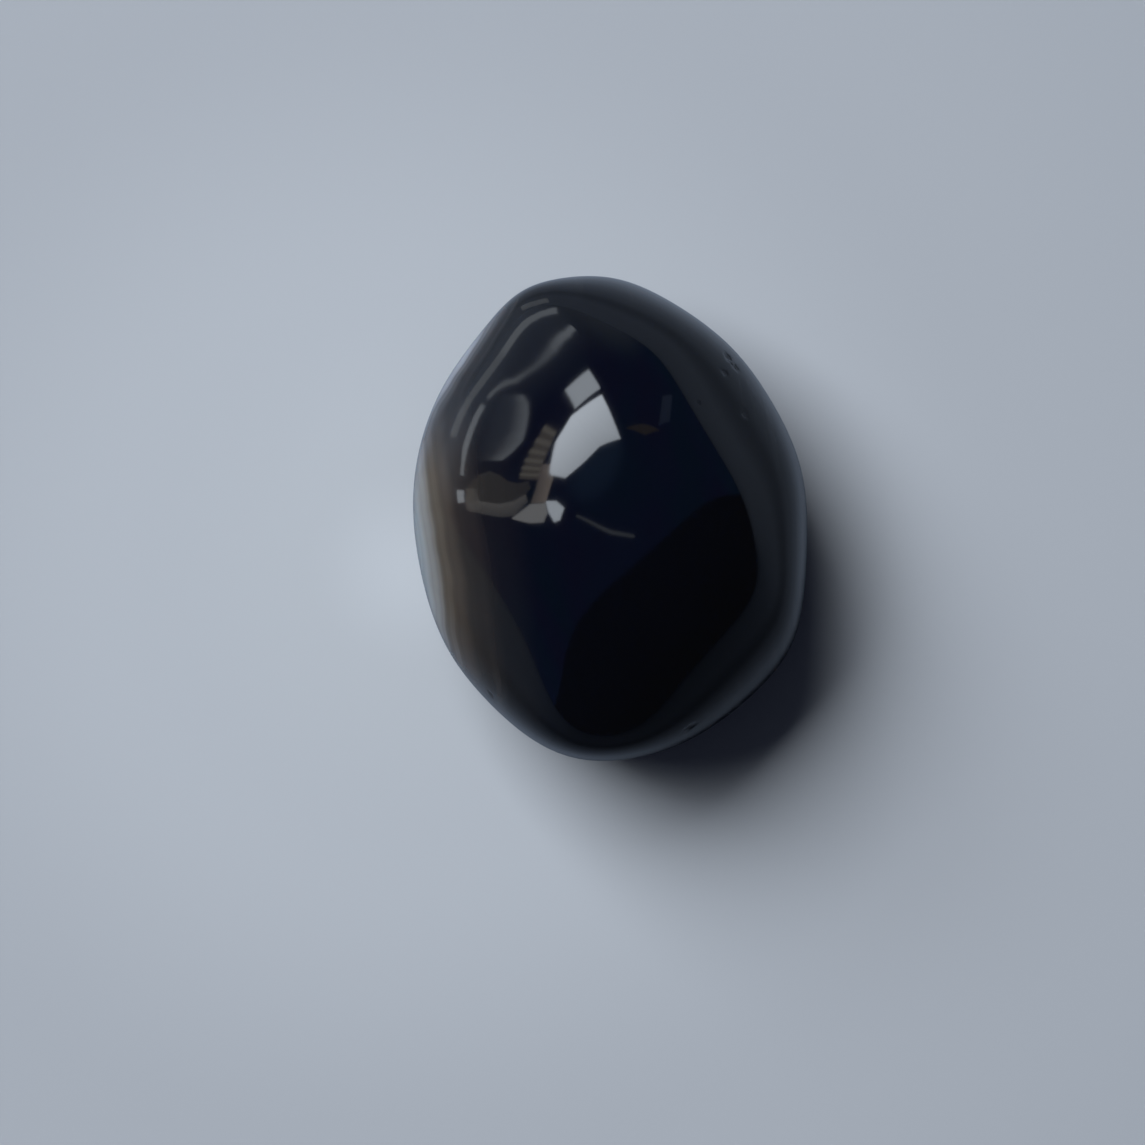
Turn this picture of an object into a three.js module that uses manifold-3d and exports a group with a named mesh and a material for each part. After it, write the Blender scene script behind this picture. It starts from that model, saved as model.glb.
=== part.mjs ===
// A tumbled agate pebble: one polished stone, worn into soft flats and resting on its flattest side.
// Millimetres, +Z up. The origin is on the ground, under the middle of the stone.
import * as THREE from "three";
import { mergeVertices } from "three/addons/utils/BufferGeometryUtils.js";
import Module from "manifold-3d";

const wasm = await Module();
wasm.setup();

// The unworn egg, measured from the stone's heart.
const eggHalfWidth = 11.6; // along X
const eggHalfLength = 14.2; // along Y
const eggRise = 9.1; // up to its crown
const eggDrop = 7.8; // down to its lowest point
const heartHeight = 7.5; // the heart stands this far above the resting face

// Higher values leave crisper ridges between the worn faces.
const ridgeSharpness = 16;

// Worn faces: the bearing of each face's normal from +X towards +Y, its rise above level,
// and the face's distance from the heart.
const sideFaces = [
  { bearing: -2, rise: 0, distance: 10.35 },
  { bearing: 28, rise: 0, distance: 10.5 },
  { bearing: 57, rise: 4, distance: 11.2 },
  { bearing: 97, rise: 0, distance: 13.1 },
  { bearing: 141, rise: 0, distance: 11.4 },
  { bearing: 168, rise: 0, distance: 10.6 },
  { bearing: 192, rise: 0, distance: 10.25 },
  { bearing: 225, rise: 4, distance: 11.3 },
  { bearing: 250, rise: 0, distance: 13.0 },
  { bearing: 273, rise: 0, distance: 13.3 },
  { bearing: 285, rise: 0, distance: 12.8 },
  { bearing: 314, rise: 4, distance: 11.9 },
];
const shoulderFaces = [
  { bearing: 5, rise: 36, distance: 10.1 },
  { bearing: 34, rise: 36, distance: 9.6 },
  { bearing: 76, rise: 36, distance: 11.4 },
  { bearing: 134, rise: 55, distance: 9.8 },
  { bearing: 210, rise: 40, distance: 9.6 },
  { bearing: 317, rise: 37, distance: 10.7 },
];
const undersideFaces = [
  { bearing: 40, rise: -42, distance: 9.4 },
  { bearing: 120, rise: -40, distance: 10.4 },
  { bearing: 200, rise: -38, distance: 9.6 },
  { bearing: 290, rise: -36, distance: 10.9 },
];

const meshDetail = 14; // subdivision of the starting icosahedron
const groundBlockSize = 60; // wide and deep enough to take everything below the resting face

function faceNormal({ bearing, rise }) {
  const polar = THREE.MathUtils.degToRad(90 - rise);
  const azimuth = THREE.MathUtils.degToRad(bearing);
  return new THREE.Vector3(
    Math.sin(polar) * Math.cos(azimuth),
    Math.sin(polar) * Math.sin(azimuth),
    Math.cos(polar),
  );
}

const wornFaces = [...sideFaces, ...shoulderFaces, ...undersideFaces].map((face) => ({
  normal: faceNormal(face),
  distance: face.distance,
}));

// Distance from the heart to the polished surface in one direction. The egg and every worn face
// count together as a power mean, so the nearest one rules and the ridges between them are round.
function surfaceDistance(direction) {
  const eggHalfHeight = direction.z > 0 ? eggRise : eggDrop;
  const egg = Math.hypot(
    direction.x / eggHalfWidth,
    direction.y / eggHalfLength,
    direction.z / eggHalfHeight,
  );
  let total = egg ** ridgeSharpness;
  for (const face of wornFaces) {
    const nearness = Math.max(0, direction.dot(face.normal)) / face.distance;
    total += nearness ** ridgeSharpness;
  }
  return total ** (-1 / ridgeSharpness);
}

function roundStone() {
  const geometry = new THREE.IcosahedronGeometry(1, meshDetail);
  const points = geometry.getAttribute("position");
  const direction = new THREE.Vector3();
  for (let i = 0; i < points.count; i += 1) {
    direction.fromBufferAttribute(points, i).normalize();
    direction.multiplyScalar(surfaceDistance(direction));
    points.setXYZ(i, direction.x, direction.y, direction.z + heartHeight);
  }
  return geometry;
}

function groundBlock() {
  const geometry = new THREE.BoxGeometry(groundBlockSize, groundBlockSize, groundBlockSize);
  geometry.translate(0, 0, -groundBlockSize / 2);
  return geometry;
}

function toSolid(geometry) {
  geometry.deleteAttribute("normal");
  geometry.deleteAttribute("uv");
  const merged = mergeVertices(geometry);
  return new wasm.Manifold(
    new wasm.Mesh({
      numProp: 3,
      vertProperties: new Float32Array(merged.getAttribute("position").array),
      triVerts: new Uint32Array(merged.getIndex().array),
    }),
  );
}

function toGeometry(solid) {
  const { vertProperties, triVerts } = solid.getMesh();
  const geometry = new THREE.BufferGeometry();
  geometry.setAttribute("position", new THREE.BufferAttribute(vertProperties, 3));
  geometry.setIndex(new THREE.BufferAttribute(triVerts, 1));
  return geometry;
}

// Cuts the resting face, then brings the middle of the stone's outline over the origin.
function restingStone() {
  const geometry = toGeometry(toSolid(roundStone()).subtract(toSolid(groundBlock())));
  geometry.computeBoundingBox();
  const middle = geometry.boundingBox.getCenter(new THREE.Vector3());
  geometry.translate(-middle.x, -middle.y, 0);
  geometry.computeVertexNormals();
  return geometry;
}

const polishedAgate = new THREE.MeshStandardMaterial({
  color: 0x12151d,
  roughness: 0.08,
  metalness: 0,
});

const agateStone = new THREE.Mesh(restingStone(), polishedAgate);
agateStone.name = "agate_stone";

const agate = new THREE.Group();
agate.add(agateStone);

export default agate;
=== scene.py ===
import math
import bmesh
import bpy
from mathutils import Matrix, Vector, noise


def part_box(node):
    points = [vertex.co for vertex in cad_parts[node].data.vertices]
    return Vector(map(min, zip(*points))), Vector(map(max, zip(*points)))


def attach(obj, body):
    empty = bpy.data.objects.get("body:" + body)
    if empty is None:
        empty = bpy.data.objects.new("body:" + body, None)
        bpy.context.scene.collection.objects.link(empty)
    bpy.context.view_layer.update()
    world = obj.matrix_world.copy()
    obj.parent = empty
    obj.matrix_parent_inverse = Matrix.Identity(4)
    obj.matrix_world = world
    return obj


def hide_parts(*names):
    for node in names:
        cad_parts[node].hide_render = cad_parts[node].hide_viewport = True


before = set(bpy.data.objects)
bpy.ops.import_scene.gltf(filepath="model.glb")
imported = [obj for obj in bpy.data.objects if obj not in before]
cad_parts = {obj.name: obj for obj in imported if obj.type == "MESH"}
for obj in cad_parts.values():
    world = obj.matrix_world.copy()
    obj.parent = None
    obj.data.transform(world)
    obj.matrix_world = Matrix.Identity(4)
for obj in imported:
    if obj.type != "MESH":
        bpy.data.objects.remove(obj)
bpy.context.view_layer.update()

mm = 0.001
scene = bpy.context.scene
print("frame loaded")


# a direction from its bearing (degrees from +X towards +Y) and its rise above level
def aim(bearing, rise):
    b, r = math.radians(bearing), math.radians(rise)
    return Vector((math.cos(r) * math.cos(b), math.cos(r) * math.sin(b), math.sin(r)))


def addObject(name, data):
    thing = bpy.data.objects.new(name, data)
    scene.collection.objects.link(thing)
    return thing


def meshObject(name, bm):
    mesh = bpy.data.meshes.new(name)
    bm.to_mesh(mesh)
    bm.free()
    return addObject(name, mesh)


def addNode(tree, kind, settings=(), **inputs):
    node = tree.nodes.new(kind)
    for name, value in dict(settings).items():
        setattr(node, name, value)
    for name, value in inputs.items():
        node.inputs[name.replace("_", " ")].default_value = value
    return node


# a colour mix; the factor and either colour may be a value or another node's output
def mixColours(tree, factor, first, second, blend="MIX"):
    node = addNode(tree, "ShaderNodeMix", {"data_type": "RGBA", "blend_type": blend})
    sockets = [node.inputs["Factor"]] + [i for i in node.inputs if i.type == "RGBA"]
    for socket, value in zip(sockets, (factor, first, second)):
        if isinstance(value, bpy.types.NodeSocket):
            tree.links.new(value, socket)
        else:
            socket.default_value = value
    return next(o for o in node.outputs if o.type == "RGBA")


def addRamp(tree, factor, stops, interpolation="EASE"):
    node = addNode(tree, "ShaderNodeValToRGB")
    ramp = node.color_ramp
    ramp.interpolation = interpolation
    for element, (position, colour) in zip(ramp.elements, (stops[0], stops[-1])):
        element.position = position
        element.color = colour
    for position, colour in stops[1:-1]:
        ramp.elements.new(position).color = colour
    tree.links.new(factor, node.inputs["Fac"])
    return node.outputs["Color"]


# the pebble: an egg worn by soft flats, in millimetres from its heart (bearing, rise, distance)
stoneShape = {
    "node": "agate_stone",
    "halfWidth": 11.6, "halfLength": 14.2, "rise": 9.1, "drop": 7.8,
    "heartHeight": 7.5,
    "sharpness": 16,          # higher leaves crisper ridges between the flats
    "sideFlats": ((-2, 0, 10.35), (28, 0, 10.5), (57, 4, 11.2), (97, 0, 13.1),
                  (141, 0, 11.4), (168, 0, 10.6), (192, 0, 10.25), (225, 4, 11.3),
                  (250, 0, 13.0), (273, 0, 13.3), (285, 0, 12.8), (314, 4, 11.9)),
    "shoulderFlats": ((5, 36, 10.1), (34, 36, 9.6), (76, 36, 11.4),
                      (134, 55, 9.8), (210, 40, 9.6), (317, 37, 10.7)),
    "undersideFlats": ((40, -42, 9.4), (120, -40, 10.4), (200, -38, 9.6), (290, -36, 10.9)),
    "waves": ((4.2, 0.012),),                 # length and height of the polish's slow waves
    # bearing, rise, width, height
    "swells": ((112, 12, 1.6, 0.2), (112, 32, 1.8, -0.03), (68, 5, 4, 0.11), (230, 5, 3.2, -0.11)),
    # small chips left in the polish: bearing, rise, width, depth
    "chips": ((54, 14, 0.26, 0.05), (50.5, 15, 0.2, 0.04), (52, 22, 0.2, 0.03), (53, 42, 0.16, 0.012),
              (38, 27, 0.22, 0.02), (-69, 17, 0.24, 0.05), (236, 12, 0.2, 0.03), (12, -14, 0.3, 0.05),
              (262, -8, 0.26, 0.04), (150, -12, 0.22, 0.04), (88, -20, 0.32, 0.05)),
    "chipJag": 0.55, "chipGrain": 45,         # how ragged their outlines are, and how finely
    "chipCuts": 2, "chipReach": 0.25,         # the finer mesh under them, and how far it spreads
    "restBlend": 0.25,        # how softly the resting face runs into the underside
    "fineness": 7,
}


def stoneReach(direction, shape, flats):
    halfHeight = shape["rise"] if direction.z > 0 else shape["drop"]
    egg = Vector((direction.x / shape["halfWidth"], direction.y / shape["halfLength"],
                  direction.z / halfHeight)).length
    total = egg ** shape["sharpness"]
    for normal, distance in flats:
        total += max(0, direction.dot(normal) / distance) ** shape["sharpness"]
    return total ** (-1 / shape["sharpness"])


# a smooth hump of the given width, in millimetres, round a bearing and rise
def hump(direction, bearing, rise, width):
    away = (direction - aim(bearing, rise)).length * 10 / width
    return math.exp(-away * away)


# the same with a ragged outline and a steeper edge
def chip(direction, bearing, rise, width, jag, grain):
    away = (direction - aim(bearing, rise)).length * 10 / width
    away *= 1 + jag * noise.noise(direction * grain)
    return math.exp(-abs(away) ** 3)


# nothing goes below the ground: a soft maximum of the height and zero
def settled(height, blend):
    near = max(blend - abs(height), 0) / blend
    return max(height, 0) + near * near * blend / 4


def fitToBox(bm, low, high):
    lows = [min(v.co[i] for v in bm.verts) for i in range(3)]
    highs = [max(v.co[i] for v in bm.verts) for i in range(3)]
    for v in bm.verts:
        for i in range(3):
            share = (v.co[i] - lows[i]) / (highs[i] - lows[i])
            v.co[i] = low[i] + share * (high[i] - low[i])


def buildStone(shape):
    named = shape["sideFlats"] + shape["shoulderFlats"] + shape["undersideFlats"]
    flats = [(aim(bearing, rise), distance) for bearing, rise, distance in named]
    bm = bmesh.new()
    bmesh.ops.create_icosphere(bm, subdivisions=shape["fineness"], radius=1)
    for bearing, rise, width, depth in shape["chips"]:
        middle = aim(bearing, rise)
        spread = shape["chipReach"] * width
        near = [e for e in bm.edges if all((v.co - middle).length < spread for v in e.verts)]
        bmesh.ops.subdivide_edges(bm, edges=near, cuts=shape["chipCuts"], use_grid_fill=True)
    worn = bm.verts.layers.float.new("worn")
    for v in bm.verts:
        direction = v.co.normalized()
        reach = stoneReach(direction, shape, flats)
        for length, height in shape["waves"]:
            reach += height * noise.noise(direction * reach / length)
        for bearing, rise, width, height in shape["swells"]:
            reach += height * hump(direction, bearing, rise, width)
        for bearing, rise, width, depth in shape["chips"]:
            here = chip(direction, bearing, rise, width, shape["chipJag"], shape["chipGrain"])
            reach -= depth * here
            v[worn] = max(v[worn], here)
        spot = direction * reach
        spot.z = settled(spot.z + shape["heartHeight"], shape["restBlend"])
        v.co = spot * mm
    fitToBox(bm, *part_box(shape["node"]))
    bmesh.ops.recalc_face_normals(bm, faces=bm.faces)
    for face in bm.faces:
        face.smooth = True
    return meshObject("agate_pebble", bm)


def newMaterial(name):
    material = bpy.data.materials.new(name)
    material.use_nodes = True
    return material, material.node_tree, material.node_tree.nodes["Principled BSDF"]


# the stone lies in flat layers across one bearing, pale and smoky at one end, then near-black;
# the smoky brown end is partly the stone's own colour and partly painted light shining through its thin lit
# flank, and its palest rim is a painted reflection of the floor; millimetres from the middle, towards the
# pale end
agateLook = {
    "roughness": 0.06, "cloudy": 0.015, "cloudSize": 2.5, "chipMatt": 0.3, "ior": 1.54,
    "subsurface": 0.5, "subsurfaceReach": (1.0, 0.6, 0.4),
    "layerBearing": 187, "layerWarp": 0.35, "layerWarpSize": 5,
    "smokeAndShineStart": 4, "smokeAndShineEnd": 10,
    "smoke": ((0, (0, 0, 0, 1)), (0.3, (0.005, 0.004, 0.0025, 1)), (0.6, (0.028, 0.021, 0.014, 1)),
              (0.7, (0.07, 0.053, 0.036, 1)), (0.8, (0.11, 0.087, 0.062, 1)),
              (0.9, (0.27, 0.26, 0.24, 1)), (1, (0.34, 0.37, 0.37, 1))),
    # the pale end wraps round to a second bearing, where it is thinner
    "wrapBearing": 150, "wrapReach": 10.75, "wrapSteep": 3, "wrapBlend": 1.0,
    # towards this bearing the smoke loses its brown and takes the lilac grey of a painted reflection of the
    # floor: from and to in millimetres, its tint, how much
    "greyBearing": 97, "greyFrom": 2.5, "greyTo": 7, "greyColour": (1.26, 1.29, 1.42), "greyPart": 0.85,
    "body": (0.0008, 0.0012, 0.003, 1), "bodyLayer": (0.105, 0.108, 0.112, 1),
    "layerSpacing": 0.5, "smokeAndShineLayers": 0.14, "bandSpacing": 2.2, "bandDark": 0.25,
    # between which noise values each of these comes in
    "smokeSpan": (0.3, 0.7), "layerSpan": (0.35, 0.7), "bandSpan": (0.4, 0.6), "cloudySpan": (0.4, 0.8),
    "flankTop": 12.5, "flankFoot": 5.5,        # the dark layers show only low on the flanks
    "dimBearing": 65, "dimFrom": 5, "dimTo": 10, "dimPart": 0.5,      # and less towards this bearing
}


def agateMaterial(look):
    material, tree, shader = newMaterial("polished agate")
    link = tree.links.new
    shader.inputs["IOR"].default_value = look["ior"]
    shader.inputs["Subsurface Weight"].default_value = look["subsurface"]
    shader.inputs["Subsurface Radius"].default_value = look["subsurfaceReach"]
    shader.inputs["Subsurface Scale"].default_value = 1 * mm

    def fade(value, start, end, low=0.0, high=1.0):
        node = addNode(tree, "ShaderNodeMapRange", {"interpolation_type": "SMOOTHSTEP"},
                       From_Min=start, From_Max=end, To_Min=low, To_Max=high)
        link(value, node.inputs["Value"])
        return node.outputs["Result"]

    def times(first, second):
        node = addNode(tree, "ShaderNodeMath", {"operation": "MULTIPLY"})
        for socket, value in zip(node.inputs, (first, second)):
            if isinstance(value, bpy.types.NodeSocket):
                link(value, socket)
            else:
                socket.default_value = value
        return node.outputs["Value"]

    # place in millimetres, gently pushed about so that no layer is quite straight
    coords = addNode(tree, "ShaderNodeTexCoord")
    place = addNode(tree, "ShaderNodeVectorMath", {"operation": "SCALE"}, Scale=1 / mm)
    link(coords.outputs["Object"], place.inputs[0])
    drift = addNode(tree, "ShaderNodeTexNoise", Scale=1 / look["layerWarpSize"], Detail=2.0)
    link(place.outputs["Vector"], drift.inputs["Vector"])
    push = addNode(tree, "ShaderNodeMath", {"operation": "MULTIPLY_ADD"})
    push.inputs[1].default_value = 2 * look["layerWarp"]
    push.inputs[2].default_value = -look["layerWarp"]
    link(drift.outputs["Fac"], push.inputs[0])

    def along(bearing):
        across = addNode(tree, "ShaderNodeVectorMath", {"operation": "DOT_PRODUCT"})
        across.inputs[1].default_value = aim(bearing, 0)
        link(place.outputs["Vector"], across.inputs[0])
        moved = addNode(tree, "ShaderNodeMath", {"operation": "ADD"})
        link(across.outputs["Value"], moved.inputs[0])
        link(push.outputs["Value"], moved.inputs[1])
        return moved.outputs["Value"]

    wrap = addNode(tree, "ShaderNodeMath", {"operation": "MULTIPLY_ADD"})
    wrap.inputs[1].default_value = look["wrapSteep"]
    wrap.inputs[2].default_value = look["smokeAndShineEnd"] - look["wrapSteep"] * look["wrapReach"]
    link(along(look["wrapBearing"]), wrap.inputs[0])
    joined = addNode(tree, "ShaderNodeMath", {"operation": "SMOOTH_MAX"})
    joined.inputs[2].default_value = look["wrapBlend"]
    link(along(look["layerBearing"]), joined.inputs[0])
    link(wrap.outputs["Value"], joined.inputs[1])
    depth = joined.outputs["Value"]
    # painted light: the smoky end's colour stands partly for light shining through the lit flank, and its
    # palest rim for a painted reflection of the floor
    span = addNode(tree, "ShaderNodeMapRange", From_Min=look["smokeAndShineStart"], From_Max=look["smokeAndShineEnd"])
    link(depth, span.inputs["Value"])
    smokeAndGlowColour = addRamp(tree, span.outputs["Result"], look["smoke"])
    # painted reflection: towards the top the smoky colour gives way to a pale lilac grey
    paler = addNode(tree, "ShaderNodeRGBToBW")
    link(smokeAndGlowColour, paler.inputs["Color"])
    grey = addNode(tree, "ShaderNodeVectorMath", {"operation": "SCALE"})
    grey.inputs[0].default_value = look["greyColour"]
    link(paler.outputs["Val"], grey.inputs["Scale"])
    greyed = fade(along(look["greyBearing"]), look["greyFrom"], look["greyTo"], 0.0, look["greyPart"])
    smokeAndGlowColour = mixColours(tree, greyed, smokeAndGlowColour, grey.outputs["Vector"])

    layers = addNode(tree, "ShaderNodeTexNoise", {"noise_dimensions": "1D"},
                     Scale=1 / look["layerSpacing"], Detail=4.0, Roughness=0.6)
    link(depth, layers.inputs["W"])
    shade = fade(layers.outputs["Fac"], *look["smokeSpan"], 1 - look["smokeAndShineLayers"], 1.0)
    smoke = addNode(tree, "ShaderNodeVectorMath", {"operation": "SCALE"})
    link(smokeAndGlowColour, smoke.inputs[0])
    link(shade, smoke.inputs["Scale"])

    height = addNode(tree, "ShaderNodeSeparateXYZ")
    link(place.outputs["Vector"], height.inputs["Vector"])
    flank = fade(height.outputs["Z"], look["flankTop"], look["flankFoot"])
    bands = addNode(tree, "ShaderNodeTexNoise", {"noise_dimensions": "1D"},
                    Scale=1 / look["bandSpacing"], Detail=1.0)
    link(depth, bands.inputs["W"])
    darkLayers = times(fade(layers.outputs["Fac"], *look["layerSpan"]), flank)
    darkLayers = times(darkLayers, fade(bands.outputs["Fac"], *look["bandSpan"], look["bandDark"], 1.0))
    dimmed = fade(along(look["dimBearing"]), look["dimFrom"], look["dimTo"], 1.0, look["dimPart"])
    darkLayers = times(darkLayers, dimmed)
    body = mixColours(tree, darkLayers, look["body"], look["bodyLayer"])
    link(mixColours(tree, 1.0, body, smoke.outputs["Vector"], "ADD"), shader.inputs["Base Color"])

    # the chips are matt, the rest carries faint cloudy rubbing
    worn = addNode(tree, "ShaderNodeAttribute", {"attribute_name": "worn"})
    rubbed = addNode(tree, "ShaderNodeTexNoise", Scale=1 / look["cloudSize"], Detail=5.0)
    link(place.outputs["Vector"], rubbed.inputs["Vector"])
    roughest = look["roughness"] + look["cloudy"]
    cloudy = fade(rubbed.outputs["Fac"], *look["cloudySpan"], look["roughness"], roughest)
    matt = addNode(tree, "ShaderNodeMath", {"operation": "MULTIPLY_ADD"})
    matt.inputs[1].default_value = look["chipMatt"]
    link(worn.outputs["Fac"], matt.inputs[0])
    link(cloudy, matt.inputs[2])
    link(matt.outputs["Value"], shader.inputs["Roughness"])
    return material


stone = buildStone(stoneShape)
stone.data.materials.append(agateMaterial(agateLook))
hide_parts(stoneShape["node"])
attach(stone, "root")
print("stone made")

# painted shade: the polish mirrors the floor more dimly than the eye sees it
floorLook = {
    "halfSize": 1.2, "drop": 0.02 * mm, "colour": (0.565, 0.57, 0.577, 1), "roughness": 0.7,
    "specular": 0.1,
    "mirrorNear": (0.40, 0.44, 0.505, 1), "mirrorFar": (0.216, 0.25, 0.31, 1),
    "mirrorBearing": 90, "mirrorFrom": 40, "mirrorTo": -40,       # in millimetres across the floor
    # and this painted shade dims and brightens again going outwards, with a darker, gloomy quarter
    "mirrorRings": ((0.12, (0.6, 0.6, 0.6, 1)), (0.15, (0.72, 0.72, 0.72, 1)), (0.17, (0.82, 0.82, 0.82, 1)),
                    (0.2, (0.78, 0.78, 0.78, 1)), (0.25, (0.62, 0.62, 0.62, 1)),
                    (0.3, (0.52, 0.52, 0.52, 1)), (0.4, (0.34, 0.34, 0.34, 1)), (0.6, (0.55, 0.55, 0.55, 1))),
    "mirrorReach": 100, "gloomBearing": 280, "gloomWidth": (0.3, 0.95), "gloomReach": (20, 42),
    "gloomNear": 0.2, "gloomFar": 0.58,
    # a painted pool of light beside the stone: its middle, its reach and how bright from there outwards
    "poolMiddle": (-10.5, -2.5, 0), "poolReach": 60,
    "pool": ((0, (1, 1, 1, 1)), (0.1, (0.90, 0.90, 0.90, 1)), (0.25, (0.88, 0.88, 0.885, 1)),
             (0.55, (0.78, 0.78, 0.79, 1)), (1, (0.72, 0.725, 0.74, 1))),
    "farFrom": 150, "farTo": 1100, "farLift": 1.25,     # and it pales again into the distance: painted light that lifts the far floor where the lamps fall off
}


def buildFloor(look):
    bm = bmesh.new()
    bmesh.ops.create_grid(bm, x_segments=1, y_segments=1, size=look["halfSize"])
    bmesh.ops.translate(bm, verts=bm.verts, vec=(0, 0, -look["drop"]))
    floor = meshObject("floor", bm)
    material, tree, shader = newMaterial("pale floor")
    shader.inputs["Roughness"].default_value = look["roughness"]
    shader.inputs["Specular IOR Level"].default_value = look["specular"]
    ray = addNode(tree, "ShaderNodeLightPath")
    coords = addNode(tree, "ShaderNodeTexCoord")
    across = addNode(tree, "ShaderNodeVectorMath", {"operation": "DOT_PRODUCT"})
    across.inputs[1].default_value = aim(look["mirrorBearing"], 0)
    tree.links.new(coords.outputs["Object"], across.inputs[0])
    fade = addNode(tree, "ShaderNodeMapRange", {"interpolation_type": "SMOOTHSTEP"},
                   From_Min=look["mirrorFrom"] * mm, From_Max=look["mirrorTo"] * mm)
    tree.links.new(across.outputs["Value"], fade.inputs["Value"])
    mirrored = mixColours(tree, fade.outputs["Result"], look["mirrorNear"], look["mirrorFar"])

    def rings(middle, reach, stops):
        away = addNode(tree, "ShaderNodeVectorMath", {"operation": "DISTANCE"})
        away.inputs[1].default_value = Vector(middle) * mm
        tree.links.new(coords.outputs["Object"], away.inputs[0])
        part = addNode(tree, "ShaderNodeMapRange", From_Min=0.0, From_Max=reach * mm)
        tree.links.new(away.outputs["Value"], part.inputs["Value"])
        return away.outputs["Value"], addRamp(tree, part.outputs["Result"], stops)

    distance, ringed = rings((0, 0, 0), look["mirrorReach"], look["mirrorRings"])
    mirrored = mixColours(tree, 1.0, mirrored, ringed, "MULTIPLY")
    way = addNode(tree, "ShaderNodeVectorMath", {"operation": "NORMALIZE"})
    tree.links.new(coords.outputs["Object"], way.inputs[0])
    side = addNode(tree, "ShaderNodeVectorMath", {"operation": "DOT_PRODUCT"})
    side.inputs[1].default_value = aim(look["gloomBearing"], 0)
    tree.links.new(way.outputs["Vector"], side.inputs[0])
    quarter = addNode(tree, "ShaderNodeMapRange", {"interpolation_type": "SMOOTHSTEP"},
                      From_Min=look["gloomWidth"][0], From_Max=look["gloomWidth"][1])
    tree.links.new(side.outputs["Value"], quarter.inputs["Value"])
    onset = addNode(tree, "ShaderNodeMapRange", {"interpolation_type": "SMOOTHSTEP"},
                    From_Min=look["gloomReach"][0] * mm, From_Max=look["gloomReach"][1] * mm,
                    To_Min=look["gloomNear"], To_Max=look["gloomFar"])
    tree.links.new(distance, onset.inputs["Value"])
    gloom = addNode(tree, "ShaderNodeMath", {"operation": "MULTIPLY"})
    tree.links.new(quarter.outputs["Result"], gloom.inputs[0])
    tree.links.new(onset.outputs["Result"], gloom.inputs[1])
    mirrored = mixColours(tree, gloom.outputs["Value"], mirrored, (0, 0, 0, 1))
    # painted pool of light: the floor is brighter round a spot beside the stone
    pool = rings(look["poolMiddle"], look["poolReach"], look["pool"])[1]
    lit = mixColours(tree, 1.0, look["colour"], pool, "MULTIPLY")
    # painted light: the far floor is made paler with distance
    far = addNode(tree, "ShaderNodeMapRange", From_Min=look["farFrom"] * mm, From_Max=look["farTo"] * mm,
                  To_Min=1.0, To_Max=look["farLift"])
    tree.links.new(distance, far.inputs["Value"])
    lifted = addNode(tree, "ShaderNodeVectorMath", {"operation": "SCALE"})
    tree.links.new(lit, lifted.inputs[0])
    tree.links.new(far.outputs["Result"], lifted.inputs["Scale"])
    lit = lifted.outputs["Vector"]
    # painted shade: reflections see the floor in its darkened colour, the eye sees it in its lit colour
    tone = mixColours(tree, ray.outputs["Is Glossy Ray"], lit, mirrored)
    tree.links.new(tone, shader.inputs["Base Color"])
    floor.data.materials.append(material)


buildFloor(floorLook)
print("floor laid")

daylight = (0.82, 0.90, 1.0)
lampAim = Vector((0, 0, 8 * mm))

# soft light on the floor: bearing and rise of the centre, distance and size in metres,
# and how bright the face is; the polish mirrors the cards further down instead
softboxes = {
    "key": {"bearing": 136, "rise": 55.5, "distance": 1.5, "size": (1.0, 0.78), "face": 10.95},
    "low fill": {"bearing": 139, "rise": 33, "distance": 1.5, "size": (0.8, 0.38), "face": 5.2},
    "overhead": {"bearing": 133, "rise": 80, "distance": 1.5, "size": (1.25, 1.25), "face": 0.1},
}


def addSoftbox(name, box):
    width, height = box["size"]
    lamp = bpy.data.lights.new(name, "AREA")
    lamp.shape = "RECTANGLE"
    lamp.size, lamp.size_y = width, height
    lamp.energy = math.pi * width * height * box["face"]
    lamp.color = daylight
    holder = addObject(name, lamp)
    away = aim(box["bearing"], box["rise"])
    holder.location = lampAim + away * box["distance"]
    holder.rotation_euler = away.to_track_quat("Z", "Y").to_euler()
    holder.visible_camera = False
    holder.visible_glossy = False


for name, box in softboxes.items():
    addSoftbox(name, box)

# glowing cards that only the polish sees: corners as (bearing, rise) round the stone
cards = {
    "upper pane": {"glow": 5, "corners": ((126, 27), (114, 27), (110, 37), (125, 36))},
    "lower pane": {"glow": 9.8, "dimmer": (0.58, 36, 62),
                   "corners": ((110, 40), (90, 63), (114, 61), (127, 61), (141, 58.5), (144, 50),
                               (134, 40), (127, 37))},
    "side glint": {"glow": 3.2, "corners": ((174, 14.5), (172, 19), (180.5, 16.5), (183, 12))},
    "paper": {"glow": 2.1, "tint": (0.97, 0.98, 1),
              "corners": ((164, 50), (180, 40), (180, 50), (177.5, 58), (169, 59.5), (160.5, 57))},
    "paper fold": {"glow": 5.8, "corners": ((159, 56.5), (157, 61.5), (161, 67), (174, 66.5),
                                          (176.5, 63.5), (168.5, 60))},
    "bundle corner": {"glow": 0.7, "tint": (1, 0.97, 0.95),
                      "corners": ((169.5, 20.5), (167, 25), (175, 25), (180.5, 18))},
    "slat back": {"glow": 0.6, "distance": 0.62, "tint": (1, 0.9, 0.82),
                  "corners": ((133.5, 31), (132.5, 37), (148, 47), (150.5, 39.5))},
    "shelf": {"glow": 0.2, "tint": (1, 0.85, 0.72), "corners": ((86, 59), (62, 52), (48, 45), (60, 57))},
    "far curtain": {"glow": 0.3, "tint": (0.42, 0.57, 1),
                    "corners": ((50, 21), (45, 10), (44, 31), (50, 44))},
}

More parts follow.
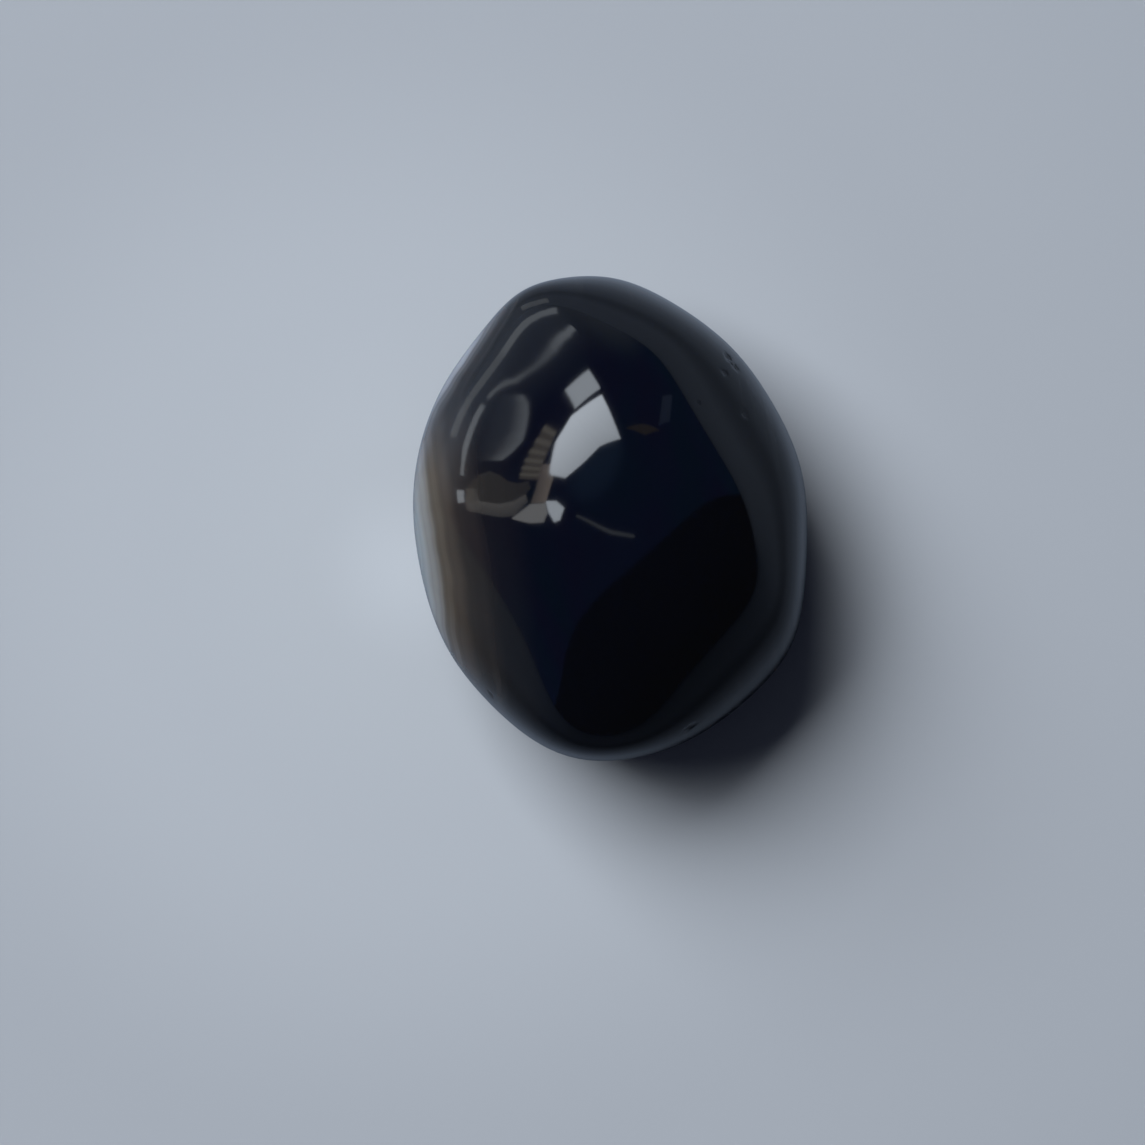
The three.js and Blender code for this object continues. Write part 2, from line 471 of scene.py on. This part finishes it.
# long narrow ones: the corners along the lower edge, then those along the upper;
# the shares say how solid the lower and the upper edge are, where a strip fades
strips = {
    "outer strip": {"glow": 1.6,
                    "low": ((105, 1.7), (112, 5), (119, 6.6), (126.5, 6), (130.5, 5.7), (133, 5.6)),
                    "high": ((108.5, 6.8), (114, 9), (120.5, 10.5), (126, 10.7), (129.5, 10.5), (132, 10.2))},
    "outer strip foot": {"glow": 1.2,
                         "low": ((133, 5.6), (135, 5.4), (138, 4.5), (141, 3.2), (143.5, 2.7),
                                 (147, 2.4), (150.5, 2.8)),
                         "high": ((132, 10.2), (134, 10), (137, 9.5), (140, 8.5), (142, 8.6), (145, 8.3),
                                  (148.5, 9))},
    "low strip": {"glow": 0.8, "distance": 0.05,
                  "low": ((105, -3.5), (112.5, -3.5), (121.5, -7)),
                  "high": ((106, 1.5), (113.5, 3), (121.5, 0.5))},
    "inner strip": {"glow": 2.0,
                    "low": ((108, 11), (113.5, 13.8), (120, 16), (123.7, 17.1)),
                    "high": ((107.5, 12.4), (113.5, 15.5), (119.5, 17.2), (123.3, 18.1))},
    "inner strip waist": {"glow": 1.6,
                          "low": ((123.7, 17.1), (126.3, 17.6), (128.4, 17.7), (130, 17.4), (131.7, 17),
                                  (133.3, 15.5), (135, 14.7), (137, 13.8)),
                          "high": ((123.3, 18.1), (126.3, 18.3), (128.4, 18.2), (130, 18), (131.9, 17.9),
                                   (133.4, 16.8), (135, 15.8), (137, 15.1))},
    "inner strip end": {"glow": 2.1,
                        "low": ((138.5, 13.5), (140.5, 13.5), (143.5, 14), (149, 15), (155.5, 17),
                                (163, 17.5)),
                        "high": ((138, 15.5), (140, 15.7), (143, 16.5), (148, 17.7), (154, 18.7),
                                 (162, 19.5))},
    "rail": {"glow": 1.7, "tint": (1, 0.86, 0.77), "shares": (0.5, 1),
             "low": ((141.5, 43), (147, 46.5), (153.5, 49), (163.5, 50)),
             "high": ((140, 46.5), (144.5, 53), (152, 55.5), (160, 57))},
    "bundle": {"glow": 0.33, "distance": 0.62, "tint": (1, 0.96, 0.97),
               "low": ((165.5, 22.5), (157, 25.5), (152, 28.5), (152, 32.5), (153.5, 36), (153, 40),
                       (150, 43.5), (153.5, 46.5)),
               "high": ((176.5, 19), (175.5, 22.5), (175, 25.5), (173.5, 29.5), (171.5, 34), (168.5, 38),
                        (164.5, 42), (158, 46))},
    "bundle edge": {"glow": 1.0, "distance": 0.61, "tint": (1, 0.97, 0.95), "shares": (0.5, 1),
                    "low": ((186, 15), (184, 23), (181.5, 33.5), (177, 42), (163, 48.5)),
                    "high": ((176.5, 18.5), (175, 25.5), (171.5, 34.5), (165, 42), (158, 46))},
    "curtain": {"glow": 1.8, "shares": (0.2, 1),
                "low": ((133.5, 19), (134.5, 20.5), (136, 22), (138, 24), (140.5, 25), (144, 26), (148, 26)),
                "high": ((132.5, 20.5), (133, 22.5), (134.5, 25), (136.5, 27.5), (138.5, 29.5), (142, 30),
                         (145.5, 29.5))},
    "curtain fold": {"glow": 1.8, "tint": (0.75, 0.87, 1), "shares": (0, 0.2),
                     "low": ((135.5, 16.5), (136.5, 17.5), (138.5, 18.5), (140.5, 19.5), (143, 20.5),
                             (146.5, 22), (150.5, 22.5)),
                     "high": ((133.5, 19), (134.5, 20.5), (136, 22), (138, 24), (140.5, 25), (144, 26),
                              (148, 26))},
    "thin arc": {"glow": 0.6, "low": ((168, 74), (195, 85), (270, 87), (336, 79)),
                 "high": ((165, 74), (184, 85.6), (270, 88.2), (340, 79.4))},
}
slats = {"count": 6, "part": 0.45, "glow": 1.2, "tint": (1, 0.94, 0.83),
         "start": ((133.5, 31), (132.5, 37)), "end": ((150.5, 39.5), (148, 47))}
cardDistance = 0.6


def cardCorner(bm, corner, reach):
    return bm.verts.new(lampAim + aim(*corner) * reach)


def glowSheet(name, bm, look):
    sheet = meshObject(name, bm)
    material, tree, shader = newMaterial(name)
    shader.inputs["Base Color"].default_value = (0, 0, 0, 1)
    shader.inputs["Emission Color"].default_value = look.get("tint", daylight) + (1,)
    if "dimmer" in look:                     # less bright towards the top: how much, from and to
        least, start, end = look["dimmer"]
        coords = addNode(tree, "ShaderNodeTexCoord")
        height = addNode(tree, "ShaderNodeSeparateXYZ")
        tree.links.new(coords.outputs["Object"], height.inputs["Vector"])
        fade = addNode(tree, "ShaderNodeMapRange", From_Min=lampAim.z + cardDistance * aim(0, start).z,
                       From_Max=lampAim.z + cardDistance * aim(0, end).z,
                       To_Min=look["glow"], To_Max=look["glow"] * least)
        tree.links.new(height.outputs["Z"], fade.inputs["Value"])
        tree.links.new(fade.outputs["Result"], shader.inputs["Emission Strength"])
    else:
        shader.inputs["Emission Strength"].default_value = look["glow"]
    if "shares" in look:
        share = addNode(tree, "ShaderNodeAttribute", {"attribute_name": "share"})
        tree.links.new(share.outputs["Fac"], shader.inputs["Alpha"])
    sheet.data.materials.append(material)
    sheet.visible_camera = False
    sheet.visible_diffuse = False
    sheet.visible_shadow = False


for name, card in cards.items():
    bm = bmesh.new()
    reach = card.get("distance", cardDistance)
    corners = [cardCorner(bm, corner, reach) for corner in card["corners"]]
    bmesh.ops.contextual_create(bm, geom=corners)
    glowSheet(name, bm, card)

for name, strip in strips.items():
    bm = bmesh.new()
    share = bm.verts.layers.float.new("share")
    reach = strip.get("distance", cardDistance)
    lows = [cardCorner(bm, corner, reach) for corner in strip["low"]]
    highs = [cardCorner(bm, corner, reach) for corner in strip["high"]]
    for edge, part in zip((lows, highs), strip.get("shares", (1, 1))):
        for v in edge:
            v[share] = part
    for i in range(len(lows) - 1):
        bmesh.ops.contextual_create(bm, geom=[lows[i], lows[i + 1], highs[i + 1], highs[i]])
    glowSheet(name, bm, strip)

bm = bmesh.new()
for i in range(slats["count"]):
    ends = []
    for part in (i / slats["count"], (i + slats["part"]) / slats["count"]):
        rung = []
        for first, last in zip(slats["start"], slats["end"]):
            corner = [a + (b - a) * part for a, b in zip(first, last)]
            rung.append(cardCorner(bm, corner, cardDistance))
        ends.append(rung)
    bmesh.ops.contextual_create(bm, geom=[ends[0][0], ends[0][1], ends[1][1], ends[1][0]])
glowSheet("slats", bm, slats)

# what the polish mirrors of the room: dusk blue overhead, a dark side, a pale glow low down
roomLook = {
    "blue": (0.036, 0.054, 0.14, 1), "dark": (0.024, 0.025, 0.028, 1), "glow": (0.37, 0.44, 0.57, 1),
    "seen": (0.43, 0.47, 0.55, 1), "fill": (0.010, 0.013, 0.026, 1),
    "darkSide": (0.51, -0.86, -0.03), "darkFrom": 0.235, "darkTo": 0.255,
    "glowBearing": 145, "glowWidth": (0.7, 0.97), "glowHeight": (0.45, 0.1),
    "haze": (0.19, 0.225, 0.28, 1), "hazeBearing": 108,
    "hazeWidth": (0.72, 0.97), "hazeHeight": (0.45, -0.03),
    "teal": (0.028, 0.062, 0.13, 1), "plum": (0.043, 0.047, 0.135, 1), "cloudSize": 0.5,
    "hueStops": (0.38, 0.5, 0.62),            # where the clouds turn from teal to blue to plum
    "patch": (0.075, 0.14, 0.27, 1), "patchMiddle": (116, 67), "patchWidth": (0.965, 0.998),
}


def buildRoom(look):
    world = bpy.data.worlds.new("room")
    world.use_nodes = True
    tree = world.node_tree
    link = tree.links.new
    coords = addNode(tree, "ShaderNodeTexCoord")

    def towards(direction, start, end):
        side = addNode(tree, "ShaderNodeVectorMath", {"operation": "DOT_PRODUCT"})
        side.inputs[1].default_value = direction
        link(coords.outputs["Generated"], side.inputs[0])
        fade = addNode(tree, "ShaderNodeMapRange", {"interpolation_type": "SMOOTHSTEP"},
                       From_Min=start, From_Max=end)
        link(side.outputs["Value"], fade.inputs["Value"])
        return fade.outputs["Result"]

    def lowPatch(bearing, width, height):
        both = addNode(tree, "ShaderNodeMath", {"operation": "MULTIPLY"})
        link(towards(aim(bearing, 0), *width), both.inputs[0])
        link(towards((0, 0, 1), *height), both.inputs[1])
        return both.outputs["Value"]

    clouds = addNode(tree, "ShaderNodeTexNoise", Scale=1 / look["cloudSize"], Detail=3.0)
    link(coords.outputs["Generated"], clouds.inputs["Vector"])
    hues = (look["teal"], look["blue"], look["plum"])
    hue = addRamp(tree, clouds.outputs["Fac"], tuple(zip(look["hueStops"], hues)))
    walls = mixColours(tree, towards(look["darkSide"], look["darkFrom"], look["darkTo"]),
                       hue, look["dark"])
    patch = towards(aim(*look["patchMiddle"]), *look["patchWidth"])
    walls = mixColours(tree, patch, walls, look["patch"])
    haze = lowPatch(look["hazeBearing"], look["hazeWidth"], look["hazeHeight"])
    walls = mixColours(tree, haze, walls, look["haze"])
    glow = lowPatch(look["glowBearing"], look["glowWidth"], look["glowHeight"])
    walls = mixColours(tree, glow, walls, look["glow"])
    ray = addNode(tree, "ShaderNodeLightPath")
    lit = mixColours(tree, ray.outputs["Is Glossy Ray"], look["fill"], walls)
    lit = mixColours(tree, ray.outputs["Is Camera Ray"], lit, look["seen"])
    link(lit, tree.nodes["Background"].inputs["Color"])
    scene.world = world


buildRoom(roomLook)
scene.view_settings.view_transform = "Standard"
print("lights up")

# straight above, framed by the stone's place in a square picture
cameraLook = {"picture": 1145, "perMm": 19.4, "stoneAt": (610.5, 518), "height": 220}


def addCamera(look):
    data = bpy.data.cameras.new("camera")
    camera = addObject("camera", data)
    width = look["picture"] / look["perMm"]
    middle = look["picture"] / 2
    data.angle = 2 * math.atan(width / 2 / look["height"])
    data.clip_start = 10 * mm
    data.clip_end = 5
    x = (middle - look["stoneAt"][0]) / look["perMm"]
    y = (look["stoneAt"][1] - middle) / look["perMm"]
    camera.location = Vector((x, y, stoneShape["heartHeight"] + look["height"])) * mm
    scene.camera = camera


addCamera(cameraLook)
print("camera set")
